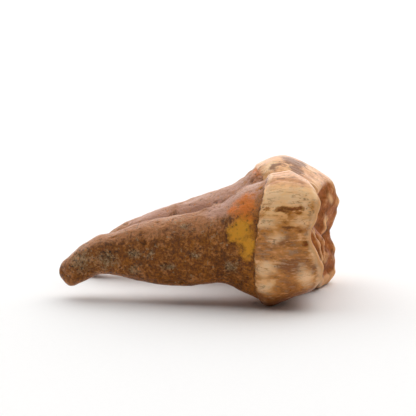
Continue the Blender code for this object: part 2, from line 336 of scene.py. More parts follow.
class FossilShape(bpy.types.PropertyGroup):
    """Sizes of the tooth's surface."""

    enamel: length_property("Enamel step", "How far the enamel stands out from the root", 0.32 * MM, 0.6 * MM)
    rim: length_property(
        "Rim", "Roundness of the edge between the walls and the chewing face", 0.7 * MM, 2.0 * MM
    )
    fold_join: length_property("Creases", "Roundness of the creases between the folds", 0.3 * MM, 1.0 * MM)
    relief: bpy.props.FloatProperty(
        name="Fine relief",
        description="Share of the fine relief of root and enamel",
        default=1.0,
        min=0.0,
        max=2.0,
        subtype="FACTOR",
    )


class FossilColours(bpy.types.PropertyGroup):
    """Colours of the tooth's stains and patina, and of the light and shade painted on it."""

    cream: colour_property("Cream enamel", "Clean enamel", paint(255, 197, 132))
    white: colour_property("Bleached enamel", "Enamel without stains", paint(255, 214, 166))
    tan: colour_property("Tan enamel", "Enamel with a thin stain", paint(210, 138, 64))
    stain: colour_property("Stained enamel", "Streaks of stain in the enamel", paint(136, 74, 16))
    dark_stain: colour_property("Dark stain", "Deep olive brown stains", paint(112, 60, 4))
    red_stain: colour_property("Red stain", "The red middle of a deep stain", paint(138, 58, 26))
    # Painted sheen: the pink that the top light's sheen gives the top of the enamel.
    top_sheen: colour_property("Blush", "Pinkish enamel on the upper side", paint(232, 170, 132))
    root: colour_property("Brown root", "Most of the root", paint(134, 76, 14))
    root_dark: colour_property("Dark root", "Darker parts of the root", paint(84, 44, 6))
    root_ochre: colour_property("Ochre root", "Yellower parts of the root", paint(190, 112, 24))
    # Painted light: the root's upper side as the top light and its sheen show it.
    lit_top: colour_property("Rosy root", "The upper side of the root", paint(204, 134, 80))
    patina: colour_property("Patina", "Grey beige crust on the root", paint(142, 116, 78))
    amber: colour_property("Amber", "Translucent patch beside the cervix", paint(255, 178, 42))
    orange: colour_property("Orange", "Orange patch beside the cervix", paint(255, 140, 40))
    purple: colour_property("Purple grey", "Pinkish grey on the far root", paint(222, 166, 140))
    speck: colour_property("Dark specks", "Manganese specks and pits", paint(44, 34, 24))
    crumb: colour_property("Light specks", "Pale grains in the crust", paint(202, 170, 128))
    dentine: colour_property("Dentine", "The chewing face", paint(176, 98, 42))
    # Painted shade of the chewing face's valleys.
    valley_shade: colour_property("Recesses", "Valleys of the chewing face", paint(108, 60, 26))


class FossilStudio(bpy.types.PropertyGroup):
    """Floor and light."""

    floor: colour_property("Floor", "The pale floor", paint(246, 245, 244))
    key: power_property("Key light", "Power of the soft light overhead", 62.0)
    fill: power_property("Fill light", "Power of the light beside the camera", 1.0)
    sky: bpy.props.FloatProperty(
        name="Sky", description="Strength of the light from all round", default=0.02, min=0.0, max=5.0
    )


def smooth_step(x, low, high):
    """Rises smoothly from 0 at low to 1 at high."""
    t = np.clip((x - low) / (high - low), 0.0, 1.0)
    return t * t * (3.0 - 2.0 * t)


def smooth_max(a, b, softness):
    """The larger of a and b, with the corner where they cross rounded over softness."""
    h = np.maximum(softness - np.abs(a - b), 0.0) / softness
    return np.maximum(a, b) + h * h * softness / 4.0


def smooth_min(a, b, softness):
    """The smaller of a and b, with the corner rounded in the same way."""
    return -smooth_max(-a, -b, softness)


def track(x, column, which):
    """A smooth curve through one measure of a column's stations that doesn't swing past them.

    Between two stations it is the cubic through both values with the slopes there, and the slope at
    a station is the harmonic mean of those on its two sides, or zero where they turn.
    """
    station, values = column[:, STATION], column[:, which]
    step = np.diff(station)
    secant = np.diff(values) / step
    same_way = secant[1:] * secant[:-1] > 0
    mean = 2.0 * secant[1:] * secant[:-1] / np.where(same_way, secant[1:] + secant[:-1], 1.0)
    slope = np.concatenate([secant[:1], np.where(same_way, mean, 0.0), secant[-1:]])
    x = np.clip(x, station[0], station[-1])
    i = np.clip(np.searchsorted(station, x) - 1, 0, len(step) - 1)
    t = (x - station[i]) / step[i]
    return (
        values[i] * (1 + 2 * t) * (1 - t) ** 2
        + values[i + 1] * t * t * (3 - 2 * t)
        + slope[i] * step[i] * t * (1 - t) ** 2
        + slope[i + 1] * step[i] * t * t * (t - 1)
    )


def lumps(x, y, z, kind):
    """Smooth lumps of one kind: heights on a lattice, eased from one corner to the next."""
    height, size, seed = kind
    lattice = np.random.default_rng(seed).uniform(-height, height, (LATTICE, LATTICE, LATTICE))
    sizes = size if isinstance(size, tuple) else (size, size, size)
    at = [c / length for c, length in zip((x, y, z), sizes)]
    low = [np.floor(c).astype(int) for c in at]
    part = [smooth_step(c - f, 0.0, 1.0) for c, f in zip(at, low)]
    total = 0.0
    for corner in range(8):
        bits = [(corner >> k) & 1 for k in range(3)]
        share = 1.0
        for k in range(3):
            share = share * (part[k] if bits[k] else 1.0 - part[k])
        total = total + share * lattice[tuple((low[k] + bits[k]) % LATTICE for k in range(3))]
    return total


def column_field(side, column, x, y, z):
    """How far a point lies outside a column, in millimetres, and below zero inside it.

    Across X the column is a superellipse. Its half widths shrink in a quarter circle at the tip. The
    field is how many times wider the superellipse through the point is, less one, times the smaller
    half width.
    """
    into_cap = np.clip((TIP_CAP - ROOT_LENGTH - x) / TIP_CAP, 0.0, CAP_END)
    cap = np.sqrt(1.0 - into_cap**2)
    half_y = track(x, column, HALF_Y) * cap
    half_z = track(x, column, HALF_Z) * cap
    across = np.abs(y - side * track(x, column, OUT)) / half_y
    upward = np.abs(z - track(x, column, UP)) / half_z
    ratio = (across**SQUARENESS + upward**SQUARENESS) ** (1.0 / SQUARENESS)
    return (ratio - 1.0) * np.minimum(half_y, half_z)


def cervix(y, z):
    """Where along X the enamel ends.

    It is a wave that turns twice round the tooth and a ripple that turns five times, less a bell
    curve for the tongue, plus a smooth step on the near lobe and lumps that make it ragged.
    """
    around = np.arctan2(z - MIDDLE_Z, y)
    waves = WAVE * np.cos(2.0 * around + WAVE_TURN) + RIPPLE * np.sin(5.0 * around)
    tongue = TONGUE * np.exp(-(((around - TONGUE_AT) / TONGUE_WIDTH) ** 2))
    ragged = lumps(0.0 * y, y, z, RAGGED_EDGE)
    near = smooth_step(-y, *NEAR_LOBE) * (NEAR_AHEAD + TOP_AHEAD * smooth_step(z, *NEAR_TOP))
    off_axis = smooth_step(np.hypot(y, z - MIDDLE_Z), *OFF_AXIS)
    return CERVIX_START + off_axis * (waves - tongue + near + ragged)


def body_field(x, y, z, shape):
    """Zero on the surface before its cusps: both columns run together, cut off at the crown's top.

    Past the cervix the surface stands out by the enamel, and before it by the root's lumps.
    """
    softness = JOIN_ROOT + (JOIN_CROWN - JOIN_ROOT) * smooth_step(x, *JOIN_BLEND)
    near, far = (column_field(side, column, x, y, z) for side, column in COLUMNS)
    sides = smooth_min(near, far, softness)
    lip = cervix(y, z) - LIP_BEHIND * ENAMEL_LIP
    sides = sides - shape.enamel / MM * smooth_step(x, lip, lip + ENAMEL_LIP)
    on_root = 1.0 - smooth_step(x, *LUMPS_FADE)
    sides = sides - on_root * (lumps(x, y, z, ROOT_SWELLS) + lumps(x, y, z, ROOT_LUMPS))
    return smooth_max(sides, x - CROWN_HEIGHT, shape.rim / MM)


def relief(y, z, shape):
    """Height of the chewing face over the crown's: rounded ridges, with creases where they meet.

    A ridge is its crest's height less a slope times the distance from the crest, and the face is
    the highest of them all.
    """
    height = np.full(np.shape(y), BASIN)
    for y0, z0, height0, y1, z1, height1, slope in FOLDS:
        long_y, long_z = y1 - y0, z1 - z0
        along = ((y - y0) * long_y + (z - z0) * long_z) / (long_y**2 + long_z**2)
        along = smooth_step(along, 0.0, 1.0)
        away = np.hypot(y - y0 - along * long_y, z - z0 - along * long_z)
        away = np.hypot(away, CREST) - CREST
        ridge = height0 + along * (height1 - height0) - slope * away
        height = smooth_max(height, ridge, shape.fold_join / MM)
    return height + lumps(0.0 * y, y, z, FACE_LUMPS)


def ring_planes():
    """The middle of every ring, the way its first ray points, and how much its rays crowd there.

    A root's rings follow its centre line, the closer the nearer to its tip. The crown's start from a
    half circle ahead of the fork, as wide as the roots are apart, and face away from its centre.
    """
    t = np.arange(1, ROOT_RINGS + 1) / (ROOT_RINGS + 1.0)
    along = (ROOT_LENGTH + FORK) * t * t * (1.0 + TIP_CROWDING) / (t + TIP_CROWDING) - ROOT_LENGTH
    zero, one = np.zeros(ROOT_RINGS), np.ones(ROOT_RINGS)
    near, far = (
        np.stack([along, side * track(along, column, OUT), track(along, column, UP)], 1)
        for side, column in COLUMNS
    )
    turn = np.linspace(0.0, np.pi, FAN_RINGS)
    reach = track(FORK, NEAR, OUT)
    ahead = FORK + reach * np.sin(turn)
    to_far = (1.0 - np.cos(turn)) / 2.0
    up = (1.0 - to_far) * track(ahead, NEAR, UP) + to_far * track(ahead, FAR, UP)
    fan = np.stack([ahead, -reach * np.cos(turn), up], 1)
    fan_facing = np.stack([np.sin(turn), -np.cos(turn), 0.0 * turn], 1)
    middle = np.concatenate([near, fan, far[::-1]])
    facing = np.concatenate([np.stack([zero, -one, zero], 1), fan_facing, np.stack([zero, one, zero], 1)])
    crowding = np.concatenate([zero, CROWDING * np.sin(turn), zero])
    return middle, facing, crowding


def leave_body(middle, ray, shape):
    """How far along each ray the body ends: strides outwards, and then ever smaller halves."""
    reach = np.zeros(ray.shape[:2])
    inside = np.ones(ray.shape[:2], bool)
    for away in np.arange(STRIDE, LONGEST_RAY, STRIDE):
        point = middle + away * ray
        inside &= body_field(point[..., 0], point[..., 1], point[..., 2], shape) < 0
        reach = np.where(inside, away, reach)
    low, high = reach, reach + STRIDE
    for _ in range(HALVINGS):
        half = (low + high) / 2.0
        point = middle + half[..., None] * ray
        out = body_field(point[..., 0], point[..., 1], point[..., 2], shape) > 0
        low, high = np.where(out, low, half), np.where(out, half, high)
    return (low + high) / 2.0


def body_points(shape):
    """Points of the surface before its cusps, in rings from the near root's tip to the far one's.

    A ray turns about each ring's middle from the way the ring faces towards +Z, and its length is
    where the body's field is zero.
    """
    middle, facing, crowding = ring_planes()
    turn = np.arange(AROUND) * 2.0 * np.pi / AROUND
    turn = turn[None, :] - crowding[:, None] * np.sin(turn)[None, :]
    upwards = np.array([0.0, 0.0, 1.0])
    ray = np.cos(turn)[..., None] * facing[:, None, :] + np.sin(turn)[..., None] * upwards
    return middle[:, None, :] + leave_body(middle[:, None, :], ray, shape)[..., None] * ray


def outward(points):
    """Unit normals of a grid of points: the cross product of its two directions."""
    along = np.gradient(points, axis=0)
    around = np.roll(points, -1, 1) - np.roll(points, 1, 1)
    normal = np.cross(along, around)
    return normal / np.maximum(np.linalg.norm(normal, axis=-1, keepdims=True), 1e-9)


def path_distance(points, path):
    """Distance of each point from a line through the path's corners: the least over its pieces."""
    corners = np.array(path)
    least = np.full(points.shape[:2], 1e9)
    for start, end in zip(corners[:-1], corners[1:]):
        piece = end - start
        along = np.clip((points - start) @ piece / (piece @ piece), 0.0, 1.0)
        least = np.minimum(least, np.linalg.norm(points - start - along[..., None] * piece, axis=-1))
    return least


def warped(points):
    """Points pushed about by lumps, so that what is measured from them comes out ragged."""
    x, y, z = points[..., 0], points[..., 1], points[..., 2]
    return points + np.stack([lumps(x, y, z, kind) for kind in WARPS], -1)


def patch(points, spots):
    """How much each point lies in a patch: 1 in the middle of a spot, 0 at its reach and beyond."""
    share = np.zeros(points.shape[:2])
    for x, y, z, along, across in spots:
        for middle in ((x, y, z), (x, -y, 2.0 * MIDDLE_Z - z)):
            away = (points - middle) / (along, across, across)
            share = np.maximum(share, 1.0 - np.linalg.norm(away, axis=-1))
    return share


def fine_relief(points, past, on_face):
    """How far the fine relief lifts each point.

    It is the sum of lumps drawn out into striae, bumps and pits on the root, ribs on the enamel or
    wrinkles on the face, and of a bell curve across each crease and raised line.
    """
    x, y, z = points[..., 0], points[..., 1], points[..., 2]
    on_root = 1.0 - smooth_step(past, *ROOT_EDGE)
    root = lumps(x, y, z, ROOT_STRIAE) + lumps(x, y, z, ROOT_BUMPS) + lumps(x, y, z, ROOT_GRAIN)
    root = root - PIT_DEPTH * smooth_step(lumps(x, y, z, ROOT_PITS), *PITTED)
    enamel = lumps(x, y, z, ENAMEL_RIBS) + lumps(x, y, z, ENAMEL_STRIAE)
    face = lumps(x, y, z, FACE_WRINKLES) + lumps(x, y, z, FACE_GRAIN)
    lift = on_root * root + (1.0 - on_root) * ((1.0 - on_face) * enamel + on_face * face)
    for width, height, path in LINES:
        lift = lift + height * np.exp(-((path_distance(points, path) / width) ** 2))
    return lift


def hollowness(points, normal, reach):
    """How hollow the surface is, in millimetres.

    It is how far the mean of a point's four neighbours, reach steps away, lies outside the point.
    """
    ahead = np.concatenate([points[reach:], np.repeat(points[-1:], reach, 0)])
    behind = np.concatenate([np.repeat(points[:1], reach, 0), points[:-reach]])
    sides = np.roll(points, reach, 1) + np.roll(points, -reach, 1)
    return (((ahead + behind + sides) / 4.0 - points) * normal).sum(-1)


def tooth_surface(shape):
    """The finished points in rings, the two tips, and the measures that the colours follow."""
    body = body_points(shape)
    x, y, z = body[..., 0], body[..., 1], body[..., 2]
    past = x - cervix(y, z)
    on_face = smooth_step(x, *(CROWN_HEIGHT - below for below in FACE_EDGE))
    raised = np.stack([x + smooth_step(x, *LIFT) * relief(y, z, shape), y, z], -1)
    points = raised + (shape.relief * fine_relief(raised, past, on_face))[..., None] * outward(raised)
    column_up = np.where(y < 0, track(x, NEAR, UP), track(x, FAR, UP))
    column_half = np.where(y < 0, track(x, NEAR, HALF_Z), track(x, FAR, HALF_Z))
    normal = outward(points)
    ragged = warped(raised)
    measures = {
        "past_cervix": past,
        "on_face": on_face,
        "upper_side": (z - column_up) / column_half,
        "hollow": hollowness(points, normal, HOLLOW_STEPS),
        "crease": hollowness(points, normal, CREASE_STEPS),
        "amber": patch(ragged, AMBER),
        "orange": patch(ragged, ORANGE),
        "purple": patch(ragged, PURPLE),
        "patina": patch(ragged, PATINA),
        "dark_stain": patch(ragged, DARK_STAIN),
        "white": patch(ragged, WHITE),
        "far_brown": patch(ragged, FAR_BROWN),
    }
    tips = np.array([(-ROOT_LENGTH, side * column[0, OUT], column[0, UP]) for side, column in COLUMNS])
    return placed(points), placed(tips), measures


def placed(points):
    """Points set down on the resting spots and moved into the part's frame, in metres."""
    z = np.maximum(points[..., 2] - BEDDING, 0.0)
    return np.stack([points[..., 0] + CERVIX_X, points[..., 1] + MIDDLE_Y, z], -1) * MM


def ring_faces(count, around):
    """Four-cornered faces between neighbouring rings, and a fan of triangles at either tip."""
    first = np.arange(count - 1)[:, None] * around
    here = np.arange(around)
    after = (here + 1) % around
    quads = np.stack([first + here, first + after, first + around + after, first + around + here], -1)
    last = (count - 1) * around
    near_tip = np.stack([np.full(around, count * around), after, here], 1)
    far_tip = np.stack([np.full(around, count * around + 1), last + here, last + after], 1)
    return quads.reshape(-1, 4).tolist() + near_tip.tolist() + far_tip.tolist()


def tooth_mesh(shape):
    """The closed surface as a mesh, with its measures as attributes of its points."""
    rings, tips, measures = tooth_surface(shape)
    count, around = rings.shape[:2]
    mesh = bpy.data.meshes.new("fossil_tooth")
    mesh.from_pydata(np.concatenate([rings.reshape(-1, 3), tips]).tolist(), [], ring_faces(count, around))
    for name, values in measures.items():
        ends = [values[0].mean(), values[-1].mean()]
        attribute = mesh.attributes.new(name, "FLOAT", "POINT")
        attribute.data.foreach_set("value", np.concatenate([values.ravel(), ends]).astype(np.float32))
    turned = bmesh.new()
    turned.from_mesh(mesh)
    bmesh.ops.recalc_face_normals(turned, faces=turned.faces)
    turned.to_mesh(mesh)
    turned.free()
    mesh.shade_smooth()
    return mesh


class Wash:
    """A material's nodes, with one short method for each kind that the tooth's colours need."""

    def __init__(self, name):
        self.material = bpy.data.materials.new(name)
        self.material.use_nodes = True
        self.tree = self.material.node_tree
        self.shader = self.tree.nodes["Principled BSDF"]

    def feed(self, socket, value):
        """Links a node's output to a socket, or sets the socket to a number, vector or colour."""
        if isinstance(value, bpy.types.NodeSocket):
            self.tree.links.new(value, socket)
        elif socket.type == "RGBA":
            socket.default_value = (*value, 1.0)
        else:
            socket.default_value = value

    def node(self, kind, **settings):
        """A node of a kind, with its settings."""
        made = self.tree.nodes.new(kind)
        for name, value in settings.items():
            setattr(made, name, value)
        return made

    def millimetres(self):
        """Object coordinates in millimetres."""
        return self.stretched(self.node("ShaderNodeTexCoord").outputs["Object"], (1 / MM, 1 / MM, 1 / MM))

    def stretched(self, vector, by):
        """A vector with each part multiplied."""
        scaled = self.node("ShaderNodeVectorMath", operation="MULTIPLY")
        self.feed(scaled.inputs[0], vector)
        self.feed(scaled.inputs[1], by)
        return scaled.outputs[0]

    def drawn_out(self, vector, by):
        """A vector with its X multiplied, by less than 1 for patterns drawn out along the tooth."""
        return self.stretched(vector, (by, 1.0, 1.0))

    def measure(self, name):
        """One of the measures that the mesh carries."""
        return self.node("ShaderNodeAttribute", attribute_name=name).outputs["Fac"]

    def sum(self, *parts):
        """The sum of a few numbers, each given as a socket and a factor, or as a number."""
        total = 0.0
        for part in parts:
            socket, factor = part if isinstance(part, tuple) else (1.0, part)
            added = self.node("ShaderNodeMath", operation="MULTIPLY_ADD")
            self.feed(added.inputs[0], socket)
            self.feed(added.inputs[1], factor)
            self.feed(added.inputs[2], total)
            total = added.outputs[0]
        return total

    def times(self, a, b):
        """The product of two numbers."""
        product = self.node("ShaderNodeMath", operation="MULTIPLY")
        self.feed(product.inputs[0], a)
        self.feed(product.inputs[1], b)
        return product.outputs[0]

    def band(self, value, low, high, lowest=0.0, highest=1.0):
        """Rises smoothly from lowest at low to highest at high."""
        mapped = self.node("ShaderNodeMapRange", interpolation_type="SMOOTHSTEP")
        self.feed(mapped.inputs["Value"], value)
        self.feed(mapped.inputs["From Min"], low)
        self.feed(mapped.inputs["From Max"], high)
        self.feed(mapped.inputs["To Min"], lowest)
        self.feed(mapped.inputs["To Max"], highest)
        return mapped.outputs["Result"]

    def noise(self, vector, size, detail=3.0, roughness=0.55):
        """Cloudy noise from about -1 to 1, with clouds of the given size."""
        cloud = self.node("ShaderNodeTexNoise")
        self.feed(cloud.inputs["Vector"], vector)
        self.feed(cloud.inputs["Scale"], 1.0 / size)
        self.feed(cloud.inputs["Detail"], detail)
        self.feed(cloud.inputs["Roughness"], roughness)
        return self.sum((cloud.outputs["Fac"], NOISE_SPREAD), -NOISE_SPREAD / 2.0)

    def dots(self, vector, spacing, radius, share):
        """Round dots of a radius in a share of the cells of a scattered lattice."""
        cells = self.node("ShaderNodeTexVoronoi")
        self.feed(cells.inputs["Vector"], vector)
        self.feed(cells.inputs["Scale"], 1.0 / spacing)
        self.feed(cells.inputs["Randomness"], 1.0)
        near = self.band(cells.outputs["Distance"], radius / spacing, DOT_EDGE * radius / spacing)
        split = self.node("ShaderNodeSeparateColor")
        self.feed(split.inputs["Color"], cells.outputs["Color"])
        chosen = self.band(split.outputs["Red"], share + SHARE_EDGE, share - SHARE_EDGE)
        return self.times(near, chosen)

    def mixed(self, share, under, over):
        """One colour with a share of another laid over it."""
        mix = self.node("ShaderNodeMix", data_type="RGBA", blend_type="MIX")
        self.feed(mix.inputs["Factor"], share)
        self.feed(mix.inputs[SOCKET_A], under)
        self.feed(mix.inputs[SOCKET_B], over)
        return mix.outputs[SOCKET_RESULT]

    def laid(self, under, over, value, start, full, most=1.0):
        """A colour laid over another: none of it where the value is at start, the most at full."""
        return self.mixed(self.band(value, start, full, 0.0, most), under, over)

    def shaded(self, colour, value):
        """A colour multiplied by a number."""
        scaled = self.node("ShaderNodeVectorMath", operation="SCALE")
        self.feed(scaled.inputs[0], colour)
        self.feed(scaled.inputs["Scale"], value)
        return scaled.outputs[0]


def veins(wash, vector, size, width):
    """Thin wandering lines: where cloudy noise passes through its middle value."""
    away = wash.node("ShaderNodeMath", operation="ABSOLUTE")
    wash.feed(away.inputs[0], wash.noise(vector, size, detail=3.0, roughness=0.6))
    return wash.band(away.outputs[0], width, VEIN_EDGE * width)


def root_colour(wash, mm, tints):
    """Mottled brown, paler and pinker above in painted light of the top light and its sheen, with grey
    crust, dark and pale specks, and amber beside the cervix.

    Each colour is laid over those before it where a weighted sum of a measure and noises is high.
    """
    past = wash.measure("past_cervix")
    broad = wash.noise(mm, size=4.0)
    middling = wash.noise(mm, size=1.2, detail=4.0, roughness=0.65)
    fine = wash.noise(mm, size=0.42, detail=4.0, roughness=0.75)
    tone = wash.sum((broad, 0.18), (middling, 0.20), (fine, 0.50), 0.57)
    colour = wash.laid(tints.root, tints.root_ochre, tone, start=0.35, full=0.85)
    colour = wash.laid(colour, tints.root_dark, tone, start=0.45, full=0.10, most=0.8)
    # Painted light: the upper side is made paler and pinker, standing for the top light and its sheen.
    upper = wash.sum((wash.measure("upper_side"), 1.0), (middling, 0.22), (broad, 0.12), (fine, 0.14))
    colour = wash.laid(colour, tints.lit_top, upper, start=0.38, full=0.85, most=0.92)

    patina = wash.measure("patina")
    crust = wash.sum((patina, 1.0), (middling, 0.35), (fine, 0.50))
    flakes = wash.noise(mm, size=0.36, detail=2.0)
    crust_colour = wash.laid(tints.patina, tints.crumb, flakes, start=0.0, full=0.6)
    colour = wash.laid(colour, crust_colour, crust, start=0.35, full=0.80, most=0.8)

    darkening = wash.sum((patina, 1.0), (middling, 0.25), (broad, 0.2))
    soiled = wash.band(darkening, low=0.0, high=0.5, lowest=0.25)
    flecks = wash.noise(wash.stretched(mm, (1.1, 0.9, 1.3)), size=0.55, detail=3.0, roughness=0.7)
    flecked = wash.times(wash.band(flecks, low=0.25, high=0.50), wash.times(soiled, 0.85))
    colour = wash.mixed(flecked, colour, tints.speck)
    specks = wash.times(wash.dots(mm, *DARK_PITS), soiled)
    colour = wash.mixed(wash.times(specks, 0.95), colour, tints.speck)
    crumbs = wash.dots(mm, spacing=1.2, radius=0.22, share=0.24)
    colour = wash.mixed(wash.times(crumbs, 0.6), colour, tints.crumb)
    marked = wash.band(wash.noise(mm, size=1.0, detail=2.0), low=0.30, high=0.60, highest=0.55)
    colour = wash.mixed(wash.times(veins(wash, mm, size=1.5, width=0.12), marked), colour, tints.crumb)

    purple = wash.sum((wash.measure("purple"), 1.0), (middling, 0.22), (fine, 0.18))
    colour = wash.laid(colour, tints.purple, purple, start=0.0, full=0.50, most=0.9)
    near_edge = wash.band(past, low=-3.6, high=-0.4, highest=0.34)
    amber = wash.sum((wash.measure("amber"), 1.0), (middling, 0.28), (fine, 0.28))
    ochre = wash.sum((amber, 1.0), (near_edge, 1.0), -0.1)
    colour = wash.laid(colour, tints.root_ochre, ochre, start=0.0, full=0.50, most=0.85)
    colour = wash.laid(colour, tints.amber, amber, start=0.05, full=0.85, most=0.95)
    orange = wash.sum((wash.measure("orange"), 1.0), (middling, 0.20), (fine, 0.16))
    colour = wash.laid(colour, tints.orange, orange, start=0.02, full=0.85, most=0.9)
    # Painted shade: the root is darkened just short of the cervix, in the groove under the enamel's edge.
    return wash.shaded(colour, wash.band(past, low=-0.5, high=-0.05, lowest=1.0, highest=0.88))


def enamel_colour(wash, mm, tints):
    """Cream with brown smears and streaks along the tooth, bleached in places and stained in others.

    The darkening is a weighted sum of noises, less where the enamel is bleached, more towards the rim
    and low on the walls, and painted shade under the crown. Tan and brown are laid on as it grows. The
    top gets a pink painted sheen, and the sharpest crests white painted highlights.
    """
    past = wash.measure("past_cervix")
    upper_side = wash.measure("upper_side")
    white = wash.measure("white")
    wide = wash.noise(wash.drawn_out(mm, 0.40), size=2.2)
    streaks = wash.noise(wash.drawn_out(mm, 0.24), size=0.55, detail=4.0, roughness=0.6)
    cloud = wash.noise(mm, size=1.8)
    fine = wash.noise(wash.drawn_out(mm, 0.6), size=0.5, detail=3.0, roughness=0.7)

    short_of_rim = wash.band(past, low=8.4, high=6.4, lowest=0.45)
    towards_rim = wash.times(wash.band(past, low=1.5, high=4.8), short_of_rim)
    lower = wash.band(upper_side, low=0.6, high=0.0)
    shade_underneath = wash.band(upper_side, low=-0.60, high=-1.0)
    darkening = wash.sum((wide, 0.36), (cloud, 0.28), (streaks, 0.24), (fine, 0.14), (white, -0.55), 0.36)
    # Painted shade: the darkening grows under the crown, where the tooth hides the light.
    darkening = wash.sum((darkening, 1.0), (wash.times(towards_rim, lower), 0.28), (lower, 0.14), (shade_underneath, 0.55))
    colour = wash.laid(tints.cream, tints.tan, darkening, start=0.05, full=0.60)
    colour = wash.laid(colour, tints.stain, darkening, start=0.48, full=1.05, most=0.85)
    bleached = wash.sum((white, 1.0), (cloud, 0.35), (streaks, 0.50), (fine, 0.25))
    colour = wash.laid(colour, tints.white, bleached, start=0.0, full=1.0, most=0.8)

    # The flecks of stain grow denser with the darkening, so also where that is painted shade.
    fleck_level = wash.sum((wide, 1.0), (darkening, 0.5), (white, -0.8))
    flecked_share = wash.band(fleck_level, low=0.25, high=0.70, lowest=0.03, highest=0.60)
    colour = wash.mixed(wash.times(wash.band(fine, low=0.15, high=0.60), flecked_share), colour, tints.stain)
    colour = wash.laid(colour, tints.white, streaks, start=-0.20, full=-0.80, most=0.35)
    hairlines = veins(wash, wash.drawn_out(mm, 0.14), size=1.1, width=0.07)
    clouded = wash.band(cloud, low=-0.5, high=0.3, lowest=0.1, highest=0.70)
    colour = wash.mixed(wash.times(hairlines, clouded), colour, tints.root_ochre)

    stained = wash.measure("dark_stain")
    deep = wash.sum((stained, 1.0), (streaks, 0.30), (fine, 0.35))
    deep = wash.times(wash.band(stained, low=0.0, high=0.2), deep)
    colour = wash.laid(colour, tints.root_ochre, deep, start=0.0, full=0.35, most=0.75)
    colour = wash.laid(colour, tints.dark_stain, deep, start=0.15, full=0.75, most=0.9)
    red = wash.times(wash.band(deep, low=0.40, high=0.75), wash.band(cloud, low=0.0, high=0.3))
    colour = wash.mixed(red, colour, tints.red_stain)

    beside_root = wash.band(past, low=2.6, high=0.3, lowest=0.2)
    marks = wash.dots(wash.drawn_out(mm, 0.6), spacing=0.9, radius=0.22, share=0.26)
    colour = wash.mixed(wash.times(wash.times(marks, beside_root), 0.75), colour, tints.stain)
    pits = wash.dots(mm, spacing=1.6, radius=0.19, share=0.25)
    colour = wash.mixed(wash.times(pits, 0.9), colour, tints.speck)
    # Painted sheen: a pink tint on the top of the enamel stands for the top light's sheen.
    top_sheen_share = wash.sum((upper_side, 1.0), (cloud, 0.08), (white, -0.15))
    colour = wash.laid(colour, tints.top_sheen, top_sheen_share, start=0.82, full=1.0, most=0.40)
    brown = wash.sum((wash.measure("far_brown"), 1.0), (cloud, 0.35), (streaks, 0.30), (fine, 0.20))
    colour = wash.laid(colour, tints.root, brown, start=0.12, full=0.65, most=0.85)
    # Painted highlight: white laid on the sharpest crests, such as the rim's edge.
    crest_highlight = wash.sum((wash.measure("hollow"), 1.0), (streaks, 0.04), (cloud, 0.03))
    return wash.laid(colour, tints.white, crest_highlight, start=-0.18, full=-0.32, most=0.50)


def face_colour(wash, mm, tints):
    """Worn dentine and enamel of the chewing face, with painted shade in its valleys and painted highlights
    on its crests.
    """
    cloud = wash.noise(mm, size=1.6, detail=4.0, roughness=0.6)
    fine = wash.noise(mm, size=0.5, detail=4.0, roughness=0.7)
    hollow = wash.measure("hollow")
    tone = wash.sum((cloud, 0.45), (fine, 0.35), 0.35)
    colour = wash.laid(tints.dentine, tints.stain, tone, start=0.2, full=0.8)
    colour = wash.laid(colour, tints.tan, tone, start=0.20, full=-0.15, most=0.55)
    pale = wash.sum((wash.measure("white"), 1.0), (cloud, 0.25))
    colour = wash.laid(colour, tints.cream, pale, start=0.1, full=0.8, most=0.8)
    # Painted highlight: cream laid on the crests.
    crest_highlight = wash.sum((hollow, 1.0), (cloud, 0.06), (fine, 0.05))
    colour = wash.laid(colour, tints.cream, crest_highlight, start=-0.04, full=-0.30, most=0.6)
    # Painted shade: the valleys are darkened.
    valley_shade_share = wash.sum((hollow, 1.0), (cloud, 0.08), (fine, 0.04))
    colour = wash.laid(colour, tints.valley_shade, valley_shade_share, start=0.0, full=0.20, most=0.4)
    specks = wash.dots(mm, spacing=1.4, radius=0.18, share=0.25)
    return wash.mixed(wash.times(specks, 0.8), colour, tints.speck)


def surface_height(wash, mm, enamel):
    """Relief too fine for the mesh, in millimetres: grain and pits on the root, streaks on the enamel."""
    rough = wash.noise(mm, size=0.5, detail=4.0, roughness=0.75)
    pits = wash.dots(mm, *DARK_PITS)
    striae = wash.noise(wash.drawn_out(mm, 0.25), size=0.6)
    grain = wash.sum((rough, -0.12), (pits, -0.10), (striae, 0.04))
    streaks = wash.noise(wash.drawn_out(mm, 0.24), size=0.7, detail=1.0)
    smooth = wash.sum((streaks, 0.016), (wash.noise(mm, size=0.8, detail=1.0), 0.010))
    on_root = wash.sum((enamel, -1.0), 1.0)
    return wash.sum((grain, on_root), (smooth, enamel))


